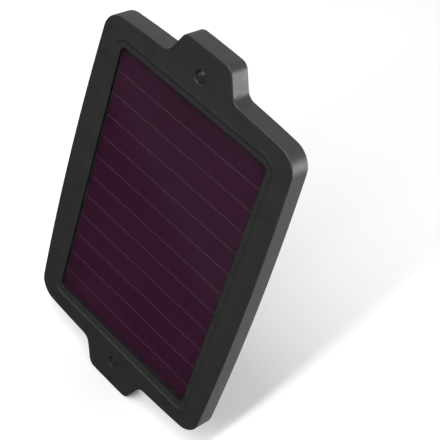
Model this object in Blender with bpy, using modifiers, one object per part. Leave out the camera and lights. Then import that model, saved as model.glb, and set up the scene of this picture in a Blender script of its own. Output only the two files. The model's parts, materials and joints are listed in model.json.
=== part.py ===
"""A small surface-mounted thin-film solar panel with a screw tab at each end.

Run with: blender --background --python part.py

The frame is in metres. Z runs up the panel from tab to tab, X runs across it, and the cells
face -Y. The origin is the middle of the flat back, which lies in the plane Y = 0.
A depth in this file is measured backwards from the ridge round the window, so depth 0 is the
foremost point and depth THICKNESS is the back.
"""

import math

import bmesh
import bpy
from mathutils import Matrix, Vector

MM = 0.001

# Front frame: a moulded tray with slightly bowed sides and a screw tab at each end
THICKNESS = 10.2 * MM
BODY_WIDTH = 113.6 * MM
BODY_HEIGHT = 167.5 * MM
SIDE_BOW = 2.3 * MM
END_BOW = 2.8 * MM
CORNER_RADIUS = 8.8 * MM
TAB_ROOT_WIDTH = 39.3 * MM
TAB_TIP_WIDTH = 26.8 * MM
TAB_LENGTH = 13.0 * MM
TAB_TIP_RADIUS = 4.7 * MM
TAB_ROOT_RADIUS = 4.9 * MM
FACE_DEPTH = 0.5 * MM
FRONT_ROUND = 0.6 * MM
SIDE_WALL = 2.2 * MM
FLOOR_DEPTH = 2.7 * MM

# Screw hole in each tab
MOUNT_HOLE_Z = 86.2 * MM
MOUNT_HOLE_RADIUS = 3.0 * MM
HOLE_CHAMFER = 0.4 * MM
MOUNT_BOSS_RADIUS = 5.5 * MM

# Window: the face rises to a crest, then slopes down to a flat ledge round the opening
OPENING_WIDTH = 89.7 * MM
OPENING_HEIGHT = 144.7 * MM
OPENING_RADIUS = 3.2 * MM
SHELF_WIDTH = 2.35 * MM
SHELF_DEPTH = 0.6 * MM
SLOPE_WIDTH = 1.5 * MM
CREST_FLAT = 0.4 * MM
LIP_BACK = 1.2 * MM

# Laminate: a glass plate, its cell strips and the sheet behind them
PLATE_WIDTH = 95.0 * MM
PLATE_HEIGHT = 149.0 * MM
GLASS_DEPTH = 1.3 * MM
GLASS_THICKNESS = 2.0 * MM
SEALANT_WIDTH = 0.7 * MM
ARRAY_WIDTH = 88.4 * MM
ARRAY_HEIGHT = 141.6 * MM
STRIP_COUNT = 12
STRIP_PITCH = 12.0 * MM
SCRIBE_WIDTH = 0.4 * MM
CELL_THICKNESS = 0.2 * MM
SHEET_THICKNESS = 0.4 * MM
RIBBON_WIDTH = 3.0 * MM
RIBBON_THICKNESS = 0.2 * MM
LAYER_GAP = 0.1 * MM

# Rear cover, which rests on a ledge inside the tray wall
COVER_THICKNESS = 1.5 * MM
COVER_END_BOW = 0.3 * MM
LEDGE_DEPTH = 7.7 * MM
LEDGE_WIDTH = 2.0 * MM
SCREW_PLACES = ((52.7 * MM, 45.0 * MM), (36.0 * MM, 78.2 * MM))
SCREW_BOSS_RADIUS = 1.9 * MM
SCREW_RADIUS = 0.8 * MM
SCREW_HEAD_RADIUS = 1.6 * MM
SCREW_LENGTH = 5.4 * MM
LABEL_SIZE = (56 * MM, 26 * MM)
LABEL_Z = 34.0 * MM

# Junction board in the space behind the laminate, and the cable outlet in the bottom wall
BOARD_X = 24.0 * MM
BOARD_Z = -56.0 * MM
BOARD_SIZE = (24 * MM, 14 * MM)
BOARD_THICKNESS = 0.8 * MM
TAPE_THICKNESS = 0.4 * MM
LEAD_SPREAD = 7.5 * MM
OUTLET_X = 30.0 * MM
OUTLET_DEPTH = 5.2 * MM
OUTLET_BORE_RADIUS = 1.6 * MM
OUTLET_BARREL_RADIUS = 2.1 * MM
OUTLET_FLANGE_RADIUS = 3.1 * MM

# Space between neighbouring pieces, how finely round shapes are cut, and overrun of the cutters
GAP = 0.2 * MM
SIDE_RUNS = 12
END_RUNS = 10
CORNER_STEPS = 6
ROUND_SEGMENTS = 32
SMALL_SEGMENTS = 20
PAST = 1.0 * MM

CELL_DEPTH = GLASS_DEPTH + GLASS_THICKNESS + LAYER_GAP
BUS_DEPTH = CELL_DEPTH + CELL_THICKNESS + LAYER_GAP
FOOT_DEPTH = BUS_DEPTH + RIBBON_THICKNESS + LAYER_GAP
SHEET_DEPTH = FOOT_DEPTH + RIBBON_THICKNESS + LAYER_GAP
RUN_DEPTH = SHEET_DEPTH + SHEET_THICKNESS + LAYER_GAP
BOARD_DEPTH = RUN_DEPTH + TAPE_THICKNESS + LAYER_GAP
PAD_DEPTH = BOARD_DEPTH + BOARD_THICKNESS + LAYER_GAP
COVER_DEPTH = THICKNESS - COVER_THICKNESS
UPRIGHT = Matrix.Rotation(math.pi / 2, 4, "X")
BUS_Z = ARRAY_HEIGHT / 2 - RIBBON_WIDTH


# ---------------------------------------------------------------- scene and materials

def empty_scene():
    for obj in list(bpy.data.objects):
        bpy.data.objects.remove(obj, do_unlink=True)


def new_collection(name):
    collection = bpy.data.collections.new(name)
    bpy.context.scene.collection.children.link(collection)
    return collection


def new_material(name, colour, roughness, metallic=0.0, transmission=0.0):
    material = bpy.data.materials.new(name)
    material.use_nodes = True
    shader = material.node_tree.nodes["Principled BSDF"]
    shader.inputs["Base Color"].default_value = (*colour, 1.0)
    shader.inputs["Roughness"].default_value = roughness
    shader.inputs["Metallic"].default_value = metallic
    shader.inputs["Transmission Weight"].default_value = transmission
    return material


def as_part(obj, name, material):
    """Names the object, gives it its material and shades it smooth across its gentle edges."""
    obj.name = name
    obj.data.name = name
    obj.data.materials.clear()
    obj.data.materials.append(material)
    obj.data.shade_smooth()
    obj.data.set_sharp_from_angle(angle=math.radians(35))
    return obj


def as_cutter(obj, name):
    obj.name = name
    obj.hide_render = True
    obj.display_type = "WIRE"
    claim(obj, cutters)
    return obj


def claim(obj, collection):
    for other in list(obj.users_collection):
        other.objects.unlink(obj)
    collection.objects.link(obj)


def boolean(obj, other, operation="DIFFERENCE"):
    modifier = obj.modifiers.new(f"{operation.lower()} {other.name}", "BOOLEAN")
    modifier.operation = operation
    modifier.object = other
    return modifier


# ---------------------------------------------------------------- outlines, as (x, z) points

def filleted(corners, steps=CORNER_STEPS):
    """A closed outline through corners (x, z, radius), each rounded by an arc of its radius."""
    points = []
    for index, (x, z, radius) in enumerate(corners):
        corner = Vector((x, z))
        before = Vector(corners[index - 1][:2]) - corner
        after = Vector(corners[(index + 1) % len(corners)][:2]) - corner
        before.normalize()
        after.normalize()
        half = before.angle(after) / 2
        centre = corner + (before + after).normalized() * radius / math.sin(half)
        start = corner + before * radius / math.tan(half) - centre
        end = corner + after * radius / math.tan(half) - centre
        turn = math.atan2(start.x * end.y - start.y * end.x, start.dot(end))
        points += [centre + Matrix.Rotation(turn * k / steps, 2) @ start for k in range(steps + 1)]
    return points


def divided(points, runs):
    """The same outline with its straight runs divided, each by its own entry in runs."""
    result = []
    spans = [(a, b) for a, b in zip(points, points[1:] + points[:1])]
    runs = iter(runs)
    longest = 2 * CORNER_RADIUS
    for start, end in spans:
        count = next(runs) if (end - start).length > longest else 1
        result += [start.lerp(end, k / count) for k in range(count)]
    return result


def bowed(points, width, height, side_bow, end_bow):
    """Swells the sides and ends outwards, most at their middles, and carries the tabs along."""
    result = []
    for x, z in points:
        up = max(-1.0, min(1.0, 2 * z / height))
        across = 2 * x / width
        wider = 1 + side_bow / (width / 2) * (1 - up ** 2)
        result.append(Vector((x * wider, z + up * end_bow * (1 - across ** 2))))
    return result


def rectangle(width, height, radius, divide=False):
    w, h = width / 2, height / 2
    points = filleted([(-w, -h, radius), (w, -h, radius), (w, h, radius), (-w, h, radius)])
    return divided(points, (END_RUNS, SIDE_RUNS) * 2) if divide else points


def body_outline(inset, end_bow=END_BOW):
    """The body's outline without its tabs, moved in from the outer wall."""
    width, height = BODY_WIDTH - 2 * inset, BODY_HEIGHT - 2 * inset
    points = rectangle(width, height, max(CORNER_RADIUS - inset, 2 * MM), divide=True)
    return bowed(points, width, height, SIDE_BOW, end_bow)


def cavity_outline(inset):
    return body_outline(inset, COVER_END_BOW)


def frame_outline():
    """The body's outline with its tabs."""
    w, h = BODY_WIDTH / 2, BODY_HEIGHT / 2
    half_end = [
        (w, h, CORNER_RADIUS),
        (TAB_ROOT_WIDTH / 2, h, TAB_ROOT_RADIUS),
        (TAB_TIP_WIDTH / 2, h + TAB_LENGTH, TAB_TIP_RADIUS),
    ]
    top = half_end + [(-x, z, r) for x, z, r in reversed(half_end)]
    points = filleted(top + [(-x, -z, r) for x, z, r in top])
    points = divided(points, (4, 3, 4, SIDE_RUNS) * 2)
    return bowed(points, BODY_WIDTH, BODY_HEIGHT, SIDE_BOW, END_BOW)


# ---------------------------------------------------------------- solids

def slab(outlines, front, back, edge=0.0, edge_steps=0):
    """A plate between two depths. An outline inside another is a hole in it.
    An edge above 0 is chamfered, or rounded when it has steps, on both faces."""
    curve = bpy.data.curves.new("slab", "CURVE")
    curve.dimensions = "2D"
    curve.fill_mode = "BOTH"
    curve.extrude = (back - front) / 2 - edge
    curve.bevel_depth = edge
    curve.bevel_resolution = edge_steps
    curve.offset = -edge
    for outline in outlines:
        spline = curve.splines.new("POLY")
        spline.points.add(len(outline) - 1)
        spline.use_cyclic_u = True
        for point, (x, z) in zip(spline.points, outline):
            point.co = (x, z, 0, 1)
    return realised(curve, Matrix.Translation((0, (front + back) / 2 - THICKNESS, 0)) @ UPRIGHT)


def realised(curve, place):
    """Turns a curve into a closed mesh object."""
    source = bpy.data.objects.new("source", curve)
    bpy.context.scene.collection.objects.link(source)
    bpy.context.view_layer.update()
    graph = bpy.context.evaluated_depsgraph_get()
    mesh = bpy.data.meshes.new_from_object(source.evaluated_get(graph))
    bpy.data.objects.remove(source)
    work = bmesh.new()
    work.from_mesh(mesh)
    bmesh.ops.remove_doubles(work, verts=work.verts, dist=0.002 * MM)
    bmesh.ops.transform(work, matrix=place, verts=work.verts)
    return finished(work, mesh)


def finished(work, mesh=None):
    bmesh.ops.recalc_face_normals(work, faces=work.faces)
    mesh = mesh or bpy.data.meshes.new("solid")
    work.to_mesh(mesh)
    work.free()
    made = bpy.data.objects.new("solid", mesh)
    parts.objects.link(made)
    return made


def loft(sections):
    """A solid through sections (outline, depth) that have the same number of points."""
    work = bmesh.new()
    rings = [
        [work.verts.new((x, depth - THICKNESS, z)) for x, z in outline] for outline, depth in sections
    ]
    for near, far in zip(rings, rings[1:]):
        for k in range(len(near)):
            work.faces.new((near[k - 1], near[k], far[k], far[k - 1]))
    work.faces.new(rings[0])
    work.faces.new(rings[-1])
    return finished(work)


def block(centre, size, edge=0.0):
    """A box about a centre (x, depth, z). An edge above 0 is bevelled."""
    bpy.ops.mesh.primitive_cube_add(size=1)
    made = bpy.context.object
    made.data.transform(Matrix.Diagonal((*size, 1)))
    made.location = (centre[0], centre[1] - THICKNESS, centre[2])
    claim(made, parts)
    if edge:
        bevel = made.modifiers.new("bevel", "BEVEL")
        bevel.width = edge
        bevel.segments = 2
    return made


def layer(x, z, width, height, front, thickness):
    """A flat rectangular piece of the stack behind the glass."""
    return block((x, front + thickness / 2, z), (width, thickness, height))


def rods(centres, profile, segments=SMALL_SEGMENTS):
    """Round rods along Y, all in one mesh, at each centre (x, z). The profile lists (depth, radius)
    from front to back."""
    work = bmesh.new()
    for x, z in centres:
        for (front, front_radius), (back, back_radius) in zip(profile, profile[1:]):
            bmesh.ops.create_cone(
                work, cap_ends=False, segments=segments, depth=back - front,
                radius1=back_radius, radius2=front_radius,
                matrix=Matrix.Translation((x, (front + back) / 2 - THICKNESS, z)) @ UPRIGHT,
            )
    bmesh.ops.remove_doubles(work, verts=work.verts, dist=0.002 * MM)
    bmesh.ops.holes_fill(work, edges=work.edges)
    return finished(work)


def turned(profile, segments, place):
    """A turned solid about its own Z axis, from a profile of (radius, height) points that runs
    down its outer side. A profile that starts on the axis also ends on it."""
    count = len(profile)
    last = count - 1 if profile[0][0] == 0 else count
    mesh = bpy.data.meshes.new("turned")
    mesh.from_pydata(
        [(radius, 0, height) for radius, height in profile], [(k, (k + 1) % count) for k in range(last)], []
    )
    made = bpy.data.objects.new("turned", mesh)
    parts.objects.link(made)
    made.matrix_world = place
    screw = made.modifiers.new("screw", "SCREW")
    screw.steps = segments
    screw.render_steps = segments
    screw.use_merge_vertices = True
    screw.merge_threshold = 0.005 * MM
    return made


def strip(route, x, width):
    """A ribbon bent along a route of (depth, z) points, which is the middle of its thickness."""
    route = [Vector(point) for point in route]
    sides = []
    for k, point in enumerate(route):
        ahead = (route[min(k + 1, len(route) - 1)] - point).normalized()
        behind = (point - route[max(k - 1, 0)]).normalized()
        along = (ahead + behind).normalized()
        normal = Vector((-along.y, along.x))
        across = ahead if k < len(route) - 1 else behind
        mitre = RIBBON_THICKNESS / 2 / max(0.5, abs(along.dot(across)))
        sides.append((point + normal * mitre, point - normal * mitre))
    outline = [side[0] for side in sides] + [side[1] for side in reversed(sides)]
    work = bmesh.new()
    rings = [
        [work.verts.new((x + edge * width / 2, depth - THICKNESS, z)) for depth, z in outline]
        for edge in (-1, 1)
    ]
    for k in range(len(outline)):
        work.faces.new((rings[0][k - 1], rings[0][k], rings[1][k], rings[1][k - 1]))
    work.faces.new(rings[0])
    work.faces.new(rings[1])
    return finished(work)


def mirrored(points):
    return [(sx * x, sz * z) for x, z in points for sx in (1, -1) for sz in (1, -1)]


# ---------------------------------------------------------------- front frame

def make_front_frame(plastic):
    back = THICKNESS + PAST
    frame = slab([frame_outline()], FACE_DEPTH, back + FRONT_ROUND, FRONT_ROUND, 2)
    as_part(frame, "front_frame", plastic)
    trim = block((0, THICKNESS + 4 * MM, 0), (BODY_WIDTH + 20 * MM, 8 * MM, BODY_HEIGHT + 60 * MM))
    boolean(frame, as_cutter(trim, "back_trim_cutter"))

    rim = body_outline(0.3 * MM)
    crest = window_outline(SHELF_WIDTH + SLOPE_WIDTH + CREST_FLAT, divide=True)
    crown = loft([(rim, FACE_DEPTH + 0.25 * MM), (crest, 0)])
    boolean(frame, as_cutter(crown, "crown"), "UNION")

    over = 0.3 * MM
    above = window_outline(SHELF_WIDTH + SLOPE_WIDTH * (1 + over / SHELF_DEPTH))
    slope = loft([(above, -over), (window_outline(SHELF_WIDTH), SHELF_DEPTH)])
    boolean(frame, as_cutter(slope, "window_slope_cutter"))
    opening = slab([window_outline(0)], SHELF_DEPTH - over, LIP_BACK + PAST)
    boolean(frame, as_cutter(opening, "window_cutter"))

    moat = 2 * (SEALANT_WIDTH + 0.3 * MM)
    pocket = slab([rectangle(PLATE_WIDTH + moat, PLATE_HEIGHT + moat, 2 * MM)], LIP_BACK, back)
    tray = slab([cavity_outline(SIDE_WALL + LEDGE_WIDTH)], FLOOR_DEPTH, back)
    seat = slab([cavity_outline(SIDE_WALL)], LEDGE_DEPTH, back)
    boolean(frame, as_cutter(pocket, "glass_pocket_cutter"))
    boolean(frame, as_cutter(tray, "tray_cutter"))
    boolean(frame, as_cutter(seat, "cover_seat_cutter"))

    boolean(frame, as_cutter(slab(tab_pockets(), FLOOR_DEPTH, back), "tab_pocket_cutter"))

    places = mirrored(SCREW_PLACES)
    bosses = rods(places, [(FLOOR_DEPTH - 0.8 * MM, SCREW_BOSS_RADIUS), (COVER_DEPTH - GAP, SCREW_BOSS_RADIUS)])
    boolean(frame, as_cutter(bosses, "screw_bosses"), "UNION")
    pilot_radius = SCREW_RADIUS + 0.15 * MM
    pilots = rods(places, [(THICKNESS - SCREW_LENGTH - 0.8 * MM, pilot_radius), (back, pilot_radius)])
    boolean(frame, as_cutter(pilots, "pilot_cutter"))

    holes = rods(
        [(0, MOUNT_HOLE_Z), (0, -MOUNT_HOLE_Z)],
        [
            (FACE_DEPTH - PAST, MOUNT_HOLE_RADIUS + HOLE_CHAMFER + PAST),
            (FACE_DEPTH + HOLE_CHAMFER, MOUNT_HOLE_RADIUS),
            (back, MOUNT_HOLE_RADIUS),
        ],
        ROUND_SEGMENTS,
    )
    boolean(frame, as_cutter(holes, "mount_hole_cutter"))

    outlet_radius = OUTLET_BARREL_RADIUS + GAP
    outlet = turned(
        [(0, 4 * MM), (outlet_radius, 4 * MM), (outlet_radius, -9 * MM), (0, -9 * MM)],
        SMALL_SEGMENTS, outlet_place(),
    )
    boolean(frame, as_cutter(outlet, "outlet_cutter"))


def window_outline(outwards, divide=False):
    """The opening's outline, moved outwards."""
    size = (OPENING_WIDTH + 2 * outwards, OPENING_HEIGHT + 2 * outwards)
    return rectangle(*size, OPENING_RADIUS + outwards, divide=divide)


def tab_pockets():
    """Outlines of the pockets that lighten the back of each tab, on both sides of its hole."""
    inner, low = MOUNT_BOSS_RADIUS + 1.4 * MM, BODY_HEIGHT / 2 + 3 * MM
    high = BODY_HEIGHT / 2 + END_BOW + TAB_LENGTH - SIDE_WALL
    tip, root = TAB_TIP_WIDTH / 2 - 1.4 * MM, TAB_ROOT_WIDTH / 2 - 3.6 * MM
    pocket = filleted([(inner, low, MM), (root, low, MM), (tip, high, MM), (inner, high, MM)], 3)
    return [[Vector((sx * p.x, sz * p.y)) for p in pocket] for sx in (1, -1) for sz in (1, -1)]


def outlet_place():
    """Where the cable outlet crosses the bottom wall, with its Z axis along the wall's normal."""
    across = 2 * OUTLET_X / BODY_WIDTH
    edge_z = -BODY_HEIGHT / 2 - END_BOW * (1 - across ** 2)
    slope = math.atan(4 * END_BOW * across / BODY_WIDTH)
    place = Matrix.Translation((OUTLET_X, OUTLET_DEPTH - THICKNESS, edge_z))
    return place @ Matrix.Rotation(math.pi - slope, 4, "Y")


# ---------------------------------------------------------------- glass, cells and wiring

def make_glass(glass, sealant):
    plate = slab([rectangle(PLATE_WIDTH, PLATE_HEIGHT, 1 * MM)], GLASS_DEPTH, GLASS_DEPTH + GLASS_THICKNESS)
    as_part(plate, "glass_plate", glass)
    inner, outer = 0.3 * MM, 2 * SEALANT_WIDTH
    bead = slab(
        [
            rectangle(PLATE_WIDTH + outer, PLATE_HEIGHT + outer, 1.6 * MM),
            rectangle(PLATE_WIDTH + inner, PLATE_HEIGHT + inner, 1.1 * MM),
        ],
        GLASS_DEPTH, GLASS_DEPTH + GLASS_THICKNESS + 0.3 * MM,
    )
    as_part(bead, "glass_sealant", sealant)


def make_cell_strips(cell):
    """The film is scribed into strips that are joined in series. The lowest one is narrower."""
    top = ARRAY_HEIGHT / 2
    for index in range(STRIP_COUNT):
        high = top - STRIP_PITCH * index - SCRIBE_WIDTH / 2
        low = max(top - STRIP_PITCH * (index + 1), -top) + SCRIBE_WIDTH / 2
        cut = layer(0, (high + low) / 2, ARRAY_WIDTH, high - low, CELL_DEPTH, CELL_THICKNESS)
        as_part(cut, f"cell_strip_{index + 1:02d}", cell)


def make_backing(sheet_material, foam):
    sheet = layer(0, 0, PLATE_WIDTH - 0.6 * MM, PLATE_HEIGHT - 0.6 * MM, SHEET_DEPTH, SHEET_THICKNESS)
    as_part(sheet, "backing_sheet", sheet_material)
    for side, end in ((1, 1), (-1, -1)):
        slot = block(
            (BOARD_X + side * LEAD_SPREAD, SHEET_DEPTH, end * (BUS_Z - 4 * MM)),
            (RIBBON_WIDTH + 0.6 * MM, 2 * MM, 1.6 * MM),
        )
        boolean(sheet, as_cutter(slot, f"lead_slot_cutter_{1 if end > 0 else 2}"))
    thickness = COVER_DEPTH - GAP - RUN_DEPTH
    for side, name in ((-1, "foam_strip_left"), (1, "foam_strip_right")):
        foam_strip = block((side * 43 * MM, RUN_DEPTH + thickness / 2, 0), (6 * MM, thickness, 118 * MM), 0.4 * MM)
        as_part(foam_strip, name, foam)


def make_ribbons(copper):
    half = RIBBON_THICKNESS / 2
    solder_depth = PAD_DEPTH + 0.3 * MM + LAYER_GAP + half
    board_half = BOARD_SIZE[1] / 2
    for end, name in ((1, "positive"), (-1, "negative")):
        bus = layer(0, end * BUS_Z, ARRAY_WIDTH - 4 * MM, RIBBON_WIDTH, BUS_DEPTH, RIBBON_THICKNESS)
        as_part(bus, f"bus_ribbon_{name}", copper)
        slot_z = end * (BUS_Z - 4 * MM)
        side = BOARD_Z + end * board_half
        lead = strip(
            [
                (FOOT_DEPTH + half, end * (BUS_Z + 1 * MM)),
                (FOOT_DEPTH + half, slot_z + end * 0.3 * MM),
                (RUN_DEPTH + half, slot_z - end * 0.3 * MM),
                (RUN_DEPTH + half, side + end * 2.2 * MM),
                (solder_depth, side + end * 0.6 * MM),
                (solder_depth, side - end * 3.4 * MM),
            ],
            BOARD_X + end * LEAD_SPREAD, RIBBON_WIDTH,
        )
        as_part(lead, f"lead_ribbon_{name}", copper)


def make_junction_board(laminate, brass, epoxy, tape):
    width, height = BOARD_SIZE
    pad = layer(BOARD_X, BOARD_Z, width - 8 * MM, height - 4 * MM, RUN_DEPTH, TAPE_THICKNESS)
    as_part(pad, "board_tape", tape)
    board = layer(BOARD_X, BOARD_Z, width, height, BOARD_DEPTH, BOARD_THICKNESS)
    as_part(board, "junction_board", laminate)
    for end, name in ((1, "solder_pad_positive"), (-1, "solder_pad_negative")):
        x, z = BOARD_X + end * LEAD_SPREAD, BOARD_Z + end * (height / 2 - 2.2 * MM)
        as_part(layer(x, z, 4 * MM, 3.6 * MM, PAD_DEPTH, 0.3 * MM), name, brass)

    axis_depth = PAD_DEPTH + 1.1 * MM
    leg = 4.6 * MM
    place = Matrix.Translation((BOARD_X, axis_depth - THICKNESS, BOARD_Z)) @ Matrix.Rotation(math.pi / 2, 4, "Y")
    diode = turned(
        [
            (0, leg), (0.35 * MM, leg), (0.35 * MM, 2.6 * MM), (0.8 * MM, 2.6 * MM), (1.0 * MM, 2.4 * MM),
            (1.0 * MM, -2.4 * MM), (0.8 * MM, -2.6 * MM), (0.35 * MM, -2.6 * MM), (0.35 * MM, -leg), (0, -leg),
        ],
        SMALL_SEGMENTS, place,
    )
    as_part(diode, "blocking_diode", epoxy)


def make_cable_grommet(rubber):
    """The grommet in the bottom wall. The cord that it holds isn't part of this model."""
    wall = 6.4 * MM
    grommet = turned(
        [
            (OUTLET_BORE_RADIUS + 0.3 * MM, 1.2 * MM),
            (OUTLET_FLANGE_RADIUS - 0.6 * MM, 1.2 * MM),
            (OUTLET_FLANGE_RADIUS, 0.7 * MM),
            (OUTLET_FLANGE_RADIUS, GAP),
            (OUTLET_BARREL_RADIUS, GAP),
            (OUTLET_BARREL_RADIUS, -wall),
            (OUTLET_BORE_RADIUS, -wall),
            (OUTLET_BORE_RADIUS, 0.9 * MM),
        ],
        ROUND_SEGMENTS, outlet_place(),
    )
    as_part(grommet, "cable_grommet", rubber)


# ---------------------------------------------------------------- back

def make_rear_cover(plastic, paper):
    cover = slab([cavity_outline(SIDE_WALL + GAP)], COVER_DEPTH, THICKNESS)
    as_part(cover, "rear_cover", plastic)
    hole_radius, wide = SCREW_RADIUS + GAP, SCREW_HEAD_RADIUS + GAP
    holes = rods(
        mirrored(SCREW_PLACES),
        [
            (COVER_DEPTH - PAST, hole_radius),
            (THICKNESS - 1.1 * MM, hole_radius),
            (THICKNESS - 0.2 * MM, wide),
            (THICKNESS + PAST, wide),
        ],
    )
    boolean(cover, as_cutter(holes, "cover_hole_cutter"))
    recess = block((0, THICKNESS, LABEL_Z), (LABEL_SIZE[0], 0.8 * MM, LABEL_SIZE[1]))
    boolean(cover, as_cutter(recess, "label_recess_cutter"))
    label = layer(0, LABEL_Z, LABEL_SIZE[0] - 0.8 * MM, LABEL_SIZE[1] - 0.8 * MM, THICKNESS - 0.3 * MM, 0.2 * MM)
    as_part(label, "rating_label", paper)


def make_cover_gasket(rubber):
    rings = [cavity_outline(SIDE_WALL + 0.15 * MM), cavity_outline(SIDE_WALL + 1.2 * MM)]
    as_part(slab(rings, LEDGE_DEPTH + LAYER_GAP, COVER_DEPTH - LAYER_GAP), "cover_gasket", rubber)


def make_cover_screws(steel):
    """Countersunk self-tapping screws with a cross recess."""
    top = -0.2 * MM
    profile = [
        (0, top),
        (SCREW_HEAD_RADIUS, top),
        (SCREW_RADIUS, top - 0.9 * MM),
        (SCREW_RADIUS, -SCREW_LENGTH + 0.8 * MM),
        (0.2 * MM, -SCREW_LENGTH),
        (0, -SCREW_LENGTH),
    ]
    cross = block((0, THICKNESS + 0.05 * MM, 0), (1.8 * MM, 0.9 * MM, 0.4 * MM))
    for index, (x, z) in enumerate(mirrored(SCREW_PLACES)):
        place = Matrix.Translation((x, 0, z)) @ Matrix.Rotation(-math.pi / 2, 4, "X")
        screw = as_part(turned(profile, SMALL_SEGMENTS, place), f"cover_screw_{index + 1}", steel)
        for turn in (0, 1):
            bar = cross.copy()
            parts.objects.link(bar)
            bar.matrix_world = (
                Matrix.Translation((x, 0.05 * MM, z)) @ Matrix.Rotation(turn * math.pi / 2, 4, "Y")
            )
            boolean(screw, as_cutter(bar, f"cross_recess_cutter_{index + 1}_{turn + 1}"))
    bpy.data.objects.remove(cross)



empty_scene()
parts = new_collection("solar_panel")
cutters = new_collection("cutters")
cutters.hide_render = True

black_plastic = new_material("black_plastic", (0.022, 0.022, 0.023), 0.5)
black_rubber = new_material("black_rubber", (0.02, 0.02, 0.02), 0.7)
clear_glass = new_material("clear_glass", (0.9, 0.92, 0.92), 0.03, transmission=1.0)
cell_film = new_material("cell_film", (0.035, 0.01, 0.022), 0.25)
grey_sheet = new_material("grey_sheet", (0.05, 0.035, 0.042), 0.6)
grey_foam = new_material("grey_foam", (0.1, 0.1, 0.1), 0.95)
tinned_copper = new_material("tinned_copper", (0.75, 0.73, 0.7), 0.3, metallic=1.0)
board_laminate = new_material("board_laminate", (0.02, 0.12, 0.05), 0.5)
brass = new_material("brass", (0.7, 0.5, 0.2), 0.35, metallic=1.0)
black_epoxy = new_material("black_epoxy", (0.02, 0.02, 0.02), 0.4)
screw_steel = new_material("screw_steel", (0.6, 0.6, 0.6), 0.3, metallic=1.0)
label_paper = new_material("label_paper", (0.75, 0.75, 0.75), 0.6)

make_front_frame(black_plastic)
make_glass(clear_glass, black_rubber)
make_cell_strips(cell_film)
make_backing(grey_sheet, grey_foam)
make_ribbons(tinned_copper)
make_junction_board(board_laminate, brass, black_epoxy, grey_foam)
make_cable_grommet(black_rubber)
make_rear_cover(black_plastic, label_paper)
make_cover_gasket(black_rubber)
make_cover_screws(screw_steel)
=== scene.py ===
"""A small thin-film solar panel in a black moulded frame, standing on a pale floor.

Distances are in metres. A depth is measured backwards from the crest round the window.
"""
import json
import math

import bmesh
import bpy
from mathutils import Matrix, Vector


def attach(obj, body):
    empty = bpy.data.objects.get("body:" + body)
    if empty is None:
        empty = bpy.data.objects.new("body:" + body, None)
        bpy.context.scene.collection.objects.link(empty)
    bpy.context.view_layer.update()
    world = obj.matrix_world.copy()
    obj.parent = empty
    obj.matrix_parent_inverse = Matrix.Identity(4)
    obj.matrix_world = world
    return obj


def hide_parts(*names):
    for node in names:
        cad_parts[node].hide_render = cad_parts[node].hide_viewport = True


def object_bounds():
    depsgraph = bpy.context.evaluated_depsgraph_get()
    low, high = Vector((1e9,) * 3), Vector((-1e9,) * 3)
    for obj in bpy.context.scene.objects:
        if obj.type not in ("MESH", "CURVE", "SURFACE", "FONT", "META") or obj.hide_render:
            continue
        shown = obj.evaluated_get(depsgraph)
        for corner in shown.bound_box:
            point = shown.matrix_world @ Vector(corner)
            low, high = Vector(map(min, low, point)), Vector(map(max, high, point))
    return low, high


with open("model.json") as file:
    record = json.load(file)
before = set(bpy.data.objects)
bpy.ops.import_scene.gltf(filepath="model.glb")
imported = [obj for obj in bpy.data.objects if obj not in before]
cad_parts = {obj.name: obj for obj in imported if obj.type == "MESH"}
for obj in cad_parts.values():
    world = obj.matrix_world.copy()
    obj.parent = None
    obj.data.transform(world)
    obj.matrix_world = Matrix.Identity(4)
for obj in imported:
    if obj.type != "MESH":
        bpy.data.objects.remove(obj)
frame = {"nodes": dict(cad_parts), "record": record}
cad_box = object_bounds()
MM = 0.001
scene = bpy.context.scene

# Sizes of the CAD part
THICKNESS = 10.2 * MM
BODY_WIDTH = 113.6 * MM
BODY_HEIGHT = 167.5 * MM
SIDE_BOW = 2.3 * MM
END_BOW = 2.8 * MM
CORNER_RADIUS = 8.8 * MM
TAB_ROOT_WIDTH = 39.3 * MM
TAB_TIP_WIDTH = 26.8 * MM
TAB_LENGTH = 13.0 * MM
TAB_TIP_RADIUS = 4.7 * MM
TAB_ROOT_RADIUS = 4.9 * MM
FACE_DEPTH = 0.5 * MM
FRONT_ROUND = 0.6 * MM
SIDE_WALL = 2.2 * MM
FLOOR_DEPTH = 2.7 * MM
MOUNT_HOLE_Z = 86.2 * MM
MOUNT_HOLE_RADIUS = 3.0 * MM
HOLE_CHAMFER = 0.4 * MM
MOUNT_BOSS_RADIUS = 5.5 * MM
OPENING = (89.7 * MM, 144.7 * MM)
OPENING_RADIUS = 3.2 * MM
SHELF_WIDTH = 2.35 * MM
SLOPE_WIDTH = 1.5 * MM
LIP_BACK = 1.2 * MM
GLASS_DEPTH = 1.3 * MM
PLATE = (95.0 * MM, 149.0 * MM)
ARRAY = (88.4 * MM, 141.6 * MM)
STRIP_COUNT = 12
STRIP_PITCH = 12.0 * MM
SCRIBE_WIDTH = 0.4 * MM
SEALANT_WIDTH = 0.7 * MM
SEALANT_GAP = 0.3 * MM
POCKET_RADIUS = 2.0 * MM
LEDGE_DEPTH = 7.7 * MM
LEDGE_WIDTH = 2.0 * MM
COVER_END_BOW = 0.3 * MM
COVER_DEPTH = 8.7 * MM
SCREW_PLACES = ((52.7 * MM, 45.0 * MM), (36.0 * MM, 78.2 * MM))
SCREW_BOSS_RADIUS = 1.9 * MM
SCREW_RADIUS = 0.8 * MM
SCREW_LENGTH = 5.4 * MM
OUTLET_X = 30.0 * MM
OUTLET_DEPTH = 5.2 * MM
OUTLET_BARREL_RADIUS = 2.1 * MM
GAP = 0.2 * MM
PAST = 1.0 * MM

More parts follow.
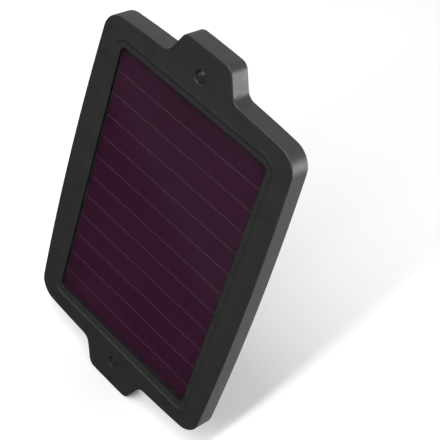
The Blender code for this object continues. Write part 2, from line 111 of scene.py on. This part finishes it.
# Sizes of the finer visual pieces
BACK_ROUND = 0.3 * MM
INNER_RADIUS = 2.0 * MM
RIM_WIDTH = 0.5 * MM
FACE_STEPS = 8
FACE_CURVE = 1.6
CREST_WIDTH = 0.9 * MM
CREST_EDGE = 0.09 * MM
BORDER = (  # distance out from the opening and depth, both in millimetres
    (4.5, 0.03), (4.3, 0.0), (4.1, 0.0), (3.9, 0.03), (3.7, 0.09), (3.45, 0.19), (3.1, 0.35), (2.8, 0.48),
    (2.6, 0.55), (2.4, 0.59), (2.2, 0.6), (1.2, 0.6), (0.2, 0.6), (0.06, 0.63), (0.0, 0.75),
)
STRIP_GAP = 0.04 * MM
LINE_CORE = 0.14 * MM
LINE_EDGE = 0.3 * MM
GRAIN_DEPTH = 0.05 * MM
SMOOTH_ANGLE = math.radians(38)
FRAME_SMOOTH_ANGLE = math.radians(30)


# ---------------------------------------------------------------- materials

class Nodes:
    """Builds a material's node tree from short calls."""

    def __init__(self, name):
        self.material = bpy.data.materials.new(name)
        self.material.use_nodes = True
        self.tree = self.material.node_tree
        self.shader = self.tree.nodes["Principled BSDF"]
        self.output = self.tree.nodes["Material Output"]

    def node(self, kind, **values):
        made = self.tree.nodes.new(kind)
        for key, value in values.items():
            if hasattr(made, key):
                setattr(made, key, value)
            else:
                made.inputs[key.replace("_", " ").title()].default_value = value
        return made

    def link(self, source, target):
        self.tree.links.new(source, target)

    def set(self, **values):
        for key, value in values.items():
            socket = key.replace("_", " ").title().replace("Ior", "IOR")
            self.shader.inputs[socket].default_value = value

    def drive(self, socket, source):
        self.link(source, self.shader.inputs[socket])

    def place(self):
        return self.node("ShaderNodeTexCoord").outputs["Object"]

    def split_place(self):
        """The X, Y and Z of the place on the object."""
        made = self.node("ShaderNodeSeparateXYZ")
        self.link(self.place(), made.inputs["Vector"])
        return made.outputs

    def noise(self, scale, detail, roughness=0.5):
        made = self.node("ShaderNodeTexNoise", Scale=scale, Detail=detail, Roughness=roughness)
        self.link(self.place(), made.inputs["Vector"])
        return made.outputs["Fac"]

    def maths(self, operation, *values):
        """A sum on numbers and on the outputs of other nodes."""
        made = self.node("ShaderNodeMath", operation=operation)
        for socket, value in zip(made.inputs, values):
            if isinstance(value, float):
                socket.default_value = value
            else:
                self.link(value, socket)
        return made.outputs["Value"]

    def ramp(self, value, low, high, start=0.3, end=0.7):
        """Maps a value onto a range of numbers or of colours."""
        if isinstance(low, tuple):
            made = self.node("ShaderNodeValToRGB")
            made.color_ramp.elements[0].position = start
            made.color_ramp.elements[0].color = (*low, 1)
            made.color_ramp.elements[1].position = end
            made.color_ramp.elements[1].color = (*high, 1)
            self.link(value, made.inputs["Fac"])
            return made.outputs["Color"]
        made = self.node("ShaderNodeMapRange")
        for name, number in (("From Min", start), ("From Max", end), ("To Min", low), ("To Max", high)):
            made.inputs[name].default_value = number
        self.link(value, made.inputs["Value"])
        return made.outputs["Result"]

    def bump(self, height, strength):
        made = self.node("ShaderNodeBump", Strength=strength, Distance=GRAIN_DEPTH)
        self.link(height, made.inputs["Height"])
        self.drive("Normal", made.outputs["Normal"])


def plastic_material():
    m = Nodes("moulded_black")
    m.set(specular_ior_level=0.5)
    m.drive("Base Color", m.ramp(m.noise(90, 3), (0.0115, 0.0115, 0.0118), (0.0145, 0.0145, 0.0148)))
    m.drive("Roughness", m.ramp(m.noise(260, 2), 0.44, 0.52))
    m.bump(m.noise(2600, 2, 0.6), 0.12)
    return m.material


def rubber_material():
    m = Nodes("soft_black")
    m.drive("Base Color", m.ramp(m.noise(400, 2), (0.014, 0.014, 0.014), (0.02, 0.02, 0.02)))
    m.drive("Roughness", m.ramp(m.noise(700, 2), 0.6, 0.75))
    m.bump(m.noise(1800, 2), 0.1)
    return m.material


def glass_material():
    """Clear glass that bends and mirrors what is seen, and lets all other light straight through."""
    m = Nodes("clear_plate")
    m.set(transmission_weight=1.0, ior=1.46, roughness=0.02, base_color=(0.96, 0.98, 0.975, 1))
    path = m.node("ShaderNodeLightPath")
    clear = m.node("ShaderNodeBsdfTransparent")
    clear.inputs["Color"].default_value = (0.93, 0.95, 0.945, 1)
    mix = m.node("ShaderNodeMixShader")
    m.link(m.maths("SUBTRACT", 1.0, path.outputs["Is Camera Ray"]), mix.inputs["Fac"])
    m.link(m.shader.outputs["BSDF"], mix.inputs[1])
    m.link(clear.outputs["BSDF"], mix.inputs[2])
    m.link(mix.outputs["Shader"], m.output.inputs["Surface"])
    return m.material


def cell_material():
    """Maroon film, with the lighter scribed line where one strip ends and the next begins."""
    m = Nodes("silicon_film")
    height = m.split_place()["Z"]
    pitches = m.maths("DIVIDE", m.maths("SUBTRACT", height, ARRAY[1] / 2), STRIP_PITCH)
    away = m.maths("ABSOLUTE", m.maths("SUBTRACT", pitches, m.maths("ROUND", pitches)))
    line = m.ramp(away, 1.0, 0.0, LINE_CORE / STRIP_PITCH, LINE_EDGE / STRIP_PITCH)
    line = m.maths("MULTIPLY", line, m.maths("LESS_THAN", height, ARRAY[1] / 2 - MM))
    mix = m.node("ShaderNodeMix", data_type="RGBA")
    film_socket, line_socket, colour = mix.inputs[6], mix.inputs[7], mix.outputs[2]
    m.link(line, mix.inputs["Factor"])
    m.link(m.ramp(m.noise(22, 3), (0.0225, 0.0033, 0.0135), (0.0265, 0.0043, 0.0163)), film_socket)
    line_socket.default_value = (0.051, 0.028, 0.042, 1)
    m.drive("Base Color", colour)
    m.drive("Roughness", m.ramp(m.noise(300, 2), 0.32, 0.42))
    m.set(specular_ior_level=0.1)
    return m.material


def plain_material(name, low, high, rough, grain, metallic=0.0, bump=0.05):
    """A material between two colours, with a fine grain."""
    m = Nodes(name)
    m.set(metallic=metallic)
    m.drive("Base Color", m.ramp(m.noise(grain, 3), low, high))
    m.drive("Roughness", m.ramp(m.noise(grain * 2.3, 2), rough - 0.05, rough + 0.05))
    m.bump(m.noise(grain * 5, 2), bump)
    return m.material


def sheet_material():
    """The film behind the strips: light between them, black in the clear margin round them."""
    m = Nodes("backing_film")
    split = m.split_place()
    inside = m.maths("MULTIPLY", *(
        m.maths("LESS_THAN", m.maths("ABSOLUTE", split[axis]), size / 2)
        for axis, size in (("X", ARRAY[0]), ("Z", ARRAY[1]))
    ))
    m.drive("Base Color", m.ramp(inside, (0.012, 0.01, 0.011), (0.12, 0.085, 0.1), 0.4, 0.6))
    m.drive("Roughness", m.ramp(m.noise(300, 2), 0.5, 0.62))
    return m.material


MATERIALS = {
    "black_plastic": plastic_material(),
    "black_rubber": rubber_material(),
    "clear_glass": glass_material(),
    "cell_film": cell_material(),
    "grey_sheet": sheet_material(),
    "grey_foam": plain_material("foam", (0.07, 0.07, 0.07), (0.13, 0.13, 0.13), 0.95, 900, bump=0.4),
    "tinned_copper": plain_material("tinned_ribbon", (0.6, 0.58, 0.55), (0.75, 0.73, 0.7), 0.32, 500, 1.0),
    "board_laminate": plain_material("solder_mask", (0.008, 0.08, 0.03), (0.012, 0.11, 0.04), 0.35, 300),
    "brass": plain_material("solder_land", (0.6, 0.42, 0.16), (0.7, 0.5, 0.2), 0.35, 400, 1.0),
    "black_epoxy": plain_material("diode_body", (0.015,) * 3, (0.022,) * 3, 0.4, 400),
    "screw_steel": plain_material("zinc_plate", (0.45, 0.45, 0.46), (0.6, 0.6, 0.6), 0.33, 700, 1.0),
    "label_paper": plain_material("label_film", (0.33, 0.33, 0.34), (0.36, 0.36, 0.37), 0.4, 300, bump=0.02),
}

for entry in frame["record"]["subparts"]:
    node = frame["nodes"][entry["node"]]
    node.data.materials.clear()
    node.data.materials.append(MATERIALS[entry["material_slot"]])


# ---------------------------------------------------------------- front frame

ARC = 10      # steps round each body corner
SIDE = 24     # steps along each side
# Steps along one end: run, root arc, flank, tip arc, tip, tip arc, flank, root arc, run
END = (7, 6, 5, 7, 8, 7, 5, 6, 7)


def arc(corner, before, after, radius, steps):
    """Points round a corner, from the side towards before to the side towards after."""
    a, b = (before - corner).normalized(), (after - corner).normalized()
    half = a.angle(b) / 2
    centre = corner + (a + b).normalized() * radius / math.sin(half)
    start = corner + a * radius / math.tan(half) - centre
    end = corner + b * radius / math.tan(half) - centre
    turn = math.atan2(start.x * end.y - start.y * end.x, start.dot(end))
    return [centre + Matrix.Rotation(turn * k / steps, 2) @ start for k in range(steps + 1)]


def bowed(points, width, height, end_bow):
    """The outline with its sides and ends bowed outwards by the most at their middles."""
    result = []
    for x, z in points:
        up = max(-1.0, min(1.0, 2 * z / height))
        across = 2 * x / width
        result.append(Vector((
            x * (1 + SIDE_BOW / (width / 2) * (1 - up ** 2)), z + up * end_bow * (1 - across ** 2)
        )))
    return result


def run(start, end, steps):
    """The points inside a straight run, without its two ends."""
    return [start.lerp(end, k / steps) for k in range(1, steps)]


def top_end(w, h):
    """The points along the top end with its tab, inside its two corners, from right to left."""
    corners = [
        Vector((TAB_ROOT_WIDTH / 2, h)), Vector((TAB_TIP_WIDTH / 2, h + TAB_LENGTH)),
        Vector((-TAB_TIP_WIDTH / 2, h + TAB_LENGTH)), Vector((-TAB_ROOT_WIDTH / 2, h)),
    ]
    radii = (TAB_ROOT_RADIUS, TAB_TIP_RADIUS, TAB_TIP_RADIUS, TAB_ROOT_RADIUS)
    chain = [Vector((w, h)), *corners, Vector((-w, h))]
    points, last = [], Vector((w - CORNER_RADIUS, h))
    for k, radius in enumerate(radii):
        bend = arc(chain[k + 1], chain[k], chain[k + 2], radius, END[2 * k + 1])
        points += run(last, bend[0], END[2 * k]) + bend
        last = bend[-1]
    return points + run(last, Vector((CORNER_RADIUS - w, h)), END[8])


TAB_END = top_end(BODY_WIDTH / 2, BODY_HEIGHT / 2)


def ring(width, height, radius, tabbed=False):
    """A closed outline that starts at the foot of the right side and runs up it. Every ring has the
    same number of points, spaced alike, so that any two can be joined."""
    w, h = width / 2, height / 2
    reach = (w - radius) / (BODY_WIDTH / 2 - CORNER_RADIUS)
    top = TAB_END if tabbed else [Vector((p.x * reach, h)) for p in TAB_END]
    right = run(Vector((w, radius - h)), Vector((w, h - radius)), SIDE)
    corner = arc(Vector((w, h)), Vector((w, 0)), Vector((0, h)), radius, ARC)
    half = right + corner + top + arc(Vector((-w, h)), Vector((0, h)), Vector((-w, 0)), radius, ARC)
    return half + [-p for p in half]


def body_ring(inset, end_bow=END_BOW):
    """The body's outline without its tabs, moved inwards."""
    width, height = BODY_WIDTH - 2 * inset, BODY_HEIGHT - 2 * inset
    return bowed(ring(width, height, max(CORNER_RADIUS - inset, INNER_RADIUS)), width, height, end_bow)


def tabbed_ring():
    outline = ring(BODY_WIDTH, BODY_HEIGHT, CORNER_RADIUS, tabbed=True)
    return bowed(outline, BODY_WIDTH, BODY_HEIGHT, END_BOW)


def moved_in(points, distance):
    """The outline moved inwards, each point at right angles to the line between its neighbours."""
    result = []
    for k, point in enumerate(points):
        along = (points[(k + 1) % len(points)] - points[k - 1]).normalized()
        result.append(point + Vector((-along.y, along.x)) * distance)
    return result


def window_ring(size, radius, outwards):
    return ring(size[0] + 2 * outwards, size[1] + 2 * outwards, radius + outwards)


def opening_ring(outwards):
    return window_ring(OPENING, OPENING_RADIUS, outwards)


def rounded(outline, radius, front_first, steps):
    """Rings (outline, depth) round a quarter circle at the edge of a wall, with the face's ring either
    first or last."""
    rings = []
    for k in range(steps + 1):
        turn = math.pi / 2 * k / steps
        rings.append((moved_in(outline, radius * (1 - math.sin(turn))), radius * (1 - math.cos(turn))))
    return rings if front_first else rings[::-1]


def solid(name, rings, material, closed=True):
    """A solid skin through rings (outline, depth). A closed one joins its last ring to its first."""
    work = bmesh.new()
    rows = [[work.verts.new((p.x, depth - THICKNESS, p.y)) for p in outline] for outline, depth in rings]
    join_rows(work, rows, closed)
    return piece(name, work, material)


def join_rows(work, rows, closed):
    """Faces from each row of points to the next. An open skin gets a cap at both ends."""
    following = rows[1:] + rows[:1] if closed else rows[1:]
    for near, far in zip(rows, following):
        for k in range(len(near)):
            work.faces.new((near[k - 1], near[k], far[k], far[k - 1]))
    if not closed:
        work.faces.new(rows[0])
        work.faces.new(rows[-1])


def piece(name, work, material):
    """Turns a bmesh into an object. One without a material is a cutter."""
    bmesh.ops.recalc_face_normals(work, faces=work.faces)
    mesh = bpy.data.meshes.new(name)
    work.to_mesh(mesh)
    work.free()
    made = bpy.data.objects.new(name, mesh)
    scene.collection.objects.link(made)
    if material:
        mesh.materials.append(material)
        mesh.shade_smooth()
        mesh.set_sharp_from_angle(angle=SMOOTH_ANGLE)
    return made


def rods(centres, profile, segments):
    """Round rods along Y at each centre (x, z), from a profile of (depth, radius) from front to back."""
    work = bmesh.new()
    for x, z in centres:
        rows = [
            [
                work.verts.new((
                    x + radius * math.cos(math.tau * k / segments), depth - THICKNESS,
                    z + radius * math.sin(math.tau * k / segments),
                ))
                for k in range(segments)
            ]
            for depth, radius in profile
        ]
        join_rows(work, rows, False)
    return piece("cutter", work, None)


def boolean(target, other, operation="DIFFERENCE"):
    """Applies a Boolean at once and removes the other object."""
    modifier = target.modifiers.new("cut", "BOOLEAN")
    modifier.operation = operation
    modifier.solver = "EXACT"
    modifier.object = other
    bpy.context.view_layer.update()
    graph = bpy.context.evaluated_depsgraph_get()
    mesh = bpy.data.meshes.new_from_object(target.evaluated_get(graph))
    target.modifiers.clear()
    old = target.data
    target.data = mesh
    bpy.data.meshes.remove(old)
    bpy.data.objects.remove(other)


def mirrored(points):
    """Each point in all four quarters."""
    return [(sx * x, sz * z) for x, z in points for sx in (1, -1) for sz in (1, -1)]


def frame_rings():
    """The tray's rings (outline, depth): forwards up its wall, in over its face, back through the
    window, and out along its inside."""
    tabbed = tabbed_ring()
    rings = [(outline, THICKNESS - depth) for outline, depth in rounded(tabbed, BACK_ROUND, True, 2)]
    rings += [(outline, FACE_DEPTH + depth) for outline, depth in rounded(tabbed, FRONT_ROUND, False, 5)]
    # The flat rim runs on into the tabs, and the face inside it rises to the crest round the window.
    rim, crest = body_ring(FRONT_ROUND + RIM_WIDTH), opening_ring(SHELF_WIDTH + SLOPE_WIDTH + CREST_WIDTH)
    for step in range(FACE_STEPS + 1):
        share = step / FACE_STEPS
        outline = [a.lerp(b, share) for a, b in zip(rim, crest)]
        rings.append((outline, FACE_DEPTH - (FACE_DEPTH - CREST_EDGE) * share ** FACE_CURVE))
    rings += [(opening_ring(out * MM), depth * MM) for out, depth in BORDER]
    pocket = window_ring(PLATE, POCKET_RADIUS, SEALANT_WIDTH + SEALANT_GAP)
    tray = body_ring(SIDE_WALL + LEDGE_WIDTH, COVER_END_BOW)
    seat = body_ring(SIDE_WALL, COVER_END_BOW)
    return rings + [
        (opening_ring(0), LIP_BACK), (pocket, LIP_BACK), (pocket, FLOOR_DEPTH),
        (tray, FLOOR_DEPTH), (tray, LEDGE_DEPTH), (seat, LEDGE_DEPTH), (seat, THICKNESS),
    ]


def cut_tab_pockets(moulding):
    """A pocket in the back of each tab, on both sides of its hole."""
    wall, root_wall, start = 1.4 * MM, 3.6 * MM, 3.0 * MM
    inner, low = MOUNT_BOSS_RADIUS + wall, BODY_HEIGHT / 2 + start
    high = BODY_HEIGHT / 2 + END_BOW + TAB_LENGTH - SIDE_WALL
    tip, root = TAB_TIP_WIDTH / 2 - wall, TAB_ROOT_WIDTH / 2 - root_wall
    corners = [Vector(p) for p in ((inner, low), (root, low), (tip, high), (inner, high))]
    outline = []
    for k, corner in enumerate(corners):
        outline += arc(corner, corners[k - 1], corners[(k + 1) % 4], MM, 5)
    for across, up in ((1, 1), (1, -1), (-1, 1), (-1, -1)):
        pocket = [Vector((across * p.x, up * p.y)) for p in outline]
        cutter = solid("cutter", [(pocket, FLOOR_DEPTH), (pocket, THICKNESS + PAST)], None, False)
        boolean(moulding, cutter)


def add_screw_bosses(moulding):
    """A boss with a pilot hole under each cover screw."""
    places = mirrored(SCREW_PLACES)
    root, end = FLOOR_DEPTH - 0.8 * MM, COVER_DEPTH - GAP
    boolean(moulding, rods(places, [(root, SCREW_BOSS_RADIUS), (end, SCREW_BOSS_RADIUS)], 28), "UNION")
    pilot, bottom = SCREW_RADIUS + 0.15 * MM, THICKNESS - SCREW_LENGTH - 0.8 * MM
    boolean(moulding, rods(places, [(bottom, pilot), (THICKNESS + PAST, pilot)], 20))


def cut_mount_holes(moulding):
    """The hole through each tab, with a rounded edge at the front and a small chamfer at the back."""
    hole, edge = MOUNT_HOLE_RADIUS, HOLE_CHAMFER
    profile = [
        (FACE_DEPTH - PAST, hole + edge + PAST), (FACE_DEPTH, hole + edge),
        (FACE_DEPTH + 0.12 * MM, hole + 0.16 * MM), (FACE_DEPTH + 0.4 * MM, hole),
        (THICKNESS - 0.2 * MM, hole), (THICKNESS + PAST, hole + 1.2 * MM),
    ]
    boolean(moulding, rods([(0, MOUNT_HOLE_Z), (0, -MOUNT_HOLE_Z)], profile, 48))


def cut_outlet(moulding):
    """The hole for the grommet, at right angles to the bowed bottom wall."""
    across = 2 * OUTLET_X / BODY_WIDTH
    edge_z = -BODY_HEIGHT / 2 - END_BOW * (1 - across ** 2)
    slope = math.atan(4 * END_BOW * across / BODY_WIDTH)
    radius = OUTLET_BARREL_RADIUS + GAP
    work = bmesh.new()
    bmesh.ops.create_cone(
        work, cap_ends=True, segments=32, depth=13 * MM, radius1=radius, radius2=radius,
        matrix=Matrix.Translation((OUTLET_X, OUTLET_DEPTH - THICKNESS, edge_z))
        @ Matrix.Rotation(math.pi - slope, 4, "Y") @ Matrix.Translation((0, 0, -2.5 * MM)),
    )
    boolean(moulding, piece("cutter", work, None))


def make_frame(material):
    moulding = solid("frame_moulding", frame_rings(), material)
    cut_tab_pockets(moulding)
    add_screw_bosses(moulding)
    cut_mount_holes(moulding)
    cut_outlet(moulding)
    moulding.data.shade_smooth()
    moulding.data.set_sharp_from_angle(angle=FRAME_SMOOTH_ANGLE)
    normals = moulding.modifiers.new("normals", "WEIGHTED_NORMAL")
    normals.keep_sharp = True
    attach(moulding, "root")
    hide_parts("front_frame")


make_frame(MATERIALS["black_plastic"])


# ---------------------------------------------------------------- cell strips

def make_strip(number, material):
    """One strip of film, widened so that only a hair's breadth is left between it and the next."""
    name = f"cell_strip_{number:02d}"
    node = frame["nodes"][name]
    corners = [node.matrix_world @ Vector(corner) for corner in node.bound_box]
    low = Vector([min(corner[axis] for corner in corners) for axis in range(3)])
    high = Vector([max(corner[axis] for corner in corners) for axis in range(3)])
    wider = (SCRIBE_WIDTH - STRIP_GAP) / 2
    if low.z > MM - ARRAY[1] / 2:
        low.z -= wider
    if high.z < ARRAY[1] / 2 - MM:
        high.z += wider
    work = bmesh.new()
    bmesh.ops.create_cube(work, size=1.0)
    for vert in work.verts:
        vert.co = Vector([low[k] + (vert.co[k] + 0.5) * (high[k] - low[k]) for k in range(3)])
    strip = piece(f"film_strip_{number:02d}", work, material)
    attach(strip, "root")
    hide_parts(name)


for number in range(1, STRIP_COUNT + 1):
    make_strip(number, MATERIALS["cell_film"])


# ---------------------------------------------------------------- floor, light and camera

AIM = Vector((16.93, 12.98, 11.85)) * MM
DISTANCE = 580.9 * MM
AZIMUTH = math.radians(33.251)
ELEVATION = math.radians(38.786)
ROLL = math.radians(19.198)
FOCAL_LENGTH = 106.73  # in millimetres, as the sensor's width
SENSOR_WIDTH = 36
FLOOR_SIZE = 12.0
CARD_HEIGHT = 0.5
CARD_REACH = 3  # the card's distance along the ray, as a multiple of the glass's
CARD_BRIGHTNESS = 0.075
# Places (x, z) on the glass: the ends of the line where the card's image starts, and a place above it
CARD_LEFT = (-70.0 * MM, 55.1 * MM)
CARD_RIGHT = (70.0 * MM, -46.2 * MM)
CARD_ABOVE = (-70.0 * MM, 160.0 * MM)
BRIGHT_AZIMUTH = math.radians(147)  # azimuth of the bright part of the ground, behind the panel


def towards(azimuth, elevation):
    """The direction towards a place seen at this azimuth and elevation. Azimuth 0 is in front, at -Y."""
    level = math.cos(elevation)
    return Vector((math.sin(azimuth) * level, -math.cos(azimuth) * level, math.sin(elevation)))


def make_camera():
    camera = bpy.data.objects.new("camera", bpy.data.cameras.new("camera"))
    scene.collection.objects.link(camera)
    camera.data.lens = FOCAL_LENGTH
    camera.data.sensor_width = SENSOR_WIDTH
    camera.data.clip_start = 0.01
    back = towards(AZIMUTH, ELEVATION)
    level = (-back).to_track_quat("-Z", "Y").to_matrix().to_4x4()
    camera.matrix_world = Matrix.Translation(AIM + back * DISTANCE) @ level @ Matrix.Rotation(ROLL, 4, "Z")
    scene.camera = camera


def rectangle(name, low, high, level, material):
    """A flat rectangle between two opposite corners (x, y), at one level."""
    corners = [(low[0], low[1]), (high[0], low[1]), (high[0], high[1]), (low[0], high[1])]
    mesh = bpy.data.meshes.new(name)
    mesh.from_pydata([(x, y, level) for x, y in corners], [], [(0, 1, 2, 3)])
    mesh.materials.append(material)
    made = bpy.data.objects.new(name, mesh)
    scene.collection.objects.link(made)
    return made


def make_floor():
    m = Nodes("pale_floor")
    m.drive("Base Color", m.ramp(m.noise(3, 2), (0.79, 0.79, 0.79), (0.81, 0.81, 0.81)))
    m.set(roughness=0.9, specular_ior_level=0.1)
    reach = FLOOR_SIZE / 2
    floor = rectangle("floor", (-reach, -reach), (reach, reach), cad_box[0].z, m.material)
    floor.visible_glossy = False
    floor.visible_shadow = False


def make_card():
    """A faint grey card in front of the panel. Its image lies across the upper right of the glass."""
    glass_y = GLASS_DEPTH - THICKNESS
    eye = AIM + towards(AZIMUTH, ELEVATION) * DISTANCE
    eye.y = 2 * glass_y - eye.y

    def beyond(place):
        """Where the ray from the mirrored eye through a place (x, z) on the glass meets the card."""
        return eye + (Vector((place[0], glass_y, place[1])) - eye) * CARD_REACH

    left = beyond(CARD_LEFT)
    along = beyond(CARD_RIGHT) - left
    length = along.length
    along.normalize()
    up = beyond(CARD_ABOVE) - left
    up = (up - along * up.dot(along)).normalized()
    m = Nodes("grey_card")
    m.set(base_color=(0, 0, 0, 1), specular_ior_level=0.0, emission_color=(1, 1, 1, 1))
    m.drive("Emission Strength", m.ramp(m.split_place()["Y"], 0.0, CARD_BRIGHTNESS, -0.01, 0.05))
    card = rectangle("card", (0, 0), (length, CARD_HEIGHT), 0, m.material)
    turn = Matrix((along, up, along.cross(up))).transposed().to_4x4()
    card.matrix_world = Matrix.Translation(left) @ turn
    card.visible_camera = card.visible_diffuse = card.visible_shadow = card.visible_transmission = False


def make_lamp(name, azimuth, elevation, distance, size, power, glossy_only=False):
    """A rectangular lamp that faces the panel. Its angles are in degrees."""
    light = bpy.data.lights.new(name, "AREA")
    light.shape = "RECTANGLE"
    light.size, light.size_y = size
    light.energy = power
    lamp = bpy.data.objects.new(name, light)
    scene.collection.objects.link(lamp)
    back = towards(math.radians(azimuth), math.radians(elevation))
    lamp.location = AIM + back * distance
    lamp.rotation_euler = (-back).to_track_quat("-Z", "Y").to_euler()
    if glossy_only:
        lamp.visible_diffuse = False
        lamp.visible_transmission = False


def make_sky(above, below, behind):
    """An even sky over a dark ground, which is bright only behind the panel on its right."""
    world = bpy.data.worlds.new("studio")
    scene.world = world
    world.use_nodes = True
    tree = world.node_tree
    place = tree.nodes.new("ShaderNodeTexCoord")

    def along(direction, start, end, low, high):
        dot = tree.nodes.new("ShaderNodeVectorMath")
        dot.operation = "DOT_PRODUCT"
        dot.inputs[1].default_value = direction
        tree.links.new(place.outputs["Generated"], dot.inputs[0])
        ramp = tree.nodes.new("ShaderNodeMapRange")
        ramp.interpolation_type = "SMOOTHSTEP"
        for name, number in (("From Min", start), ("From Max", end), ("To Min", low), ("To Max", high)):
            ramp.inputs[name].default_value = number
        tree.links.new(dot.outputs["Value"], ramp.inputs["Value"])
        return ramp.outputs["Result"]

    def joined(operation, first, second):
        made = tree.nodes.new("ShaderNodeMath")
        made.operation = operation
        tree.links.new(first, made.inputs[0])
        tree.links.new(second, made.inputs[1])
        return made.outputs["Value"]

    up, haze = (0, 0, 1), 0.08
    sky = along(up, -haze, haze, 0.0, above)
    ground = along(towards(BRIGHT_AZIMUTH, 0), 0.0, 0.5, below, behind)
    ground = joined("MULTIPLY", ground, along(up, -haze, haze, 1.0, 0.0))
    total = joined("MAXIMUM", sky, ground)
    tree.links.new(total, tree.nodes["Background"].inputs["Strength"])
    tree.nodes["Background"].inputs["Color"].default_value = (1, 1, 1, 1)


make_camera()
make_floor()
make_card()
make_sky(above=0.85, below=0.02, behind=0.8)
make_lamp("key", azimuth=8, elevation=48, distance=1.5, size=(0.1, 1.45), power=24)
make_lamp("edge_card", azimuth=130, elevation=6, distance=1.2, size=(0.9, 0.5), power=13, glossy_only=True)
scene.view_settings.view_transform = "Standard"
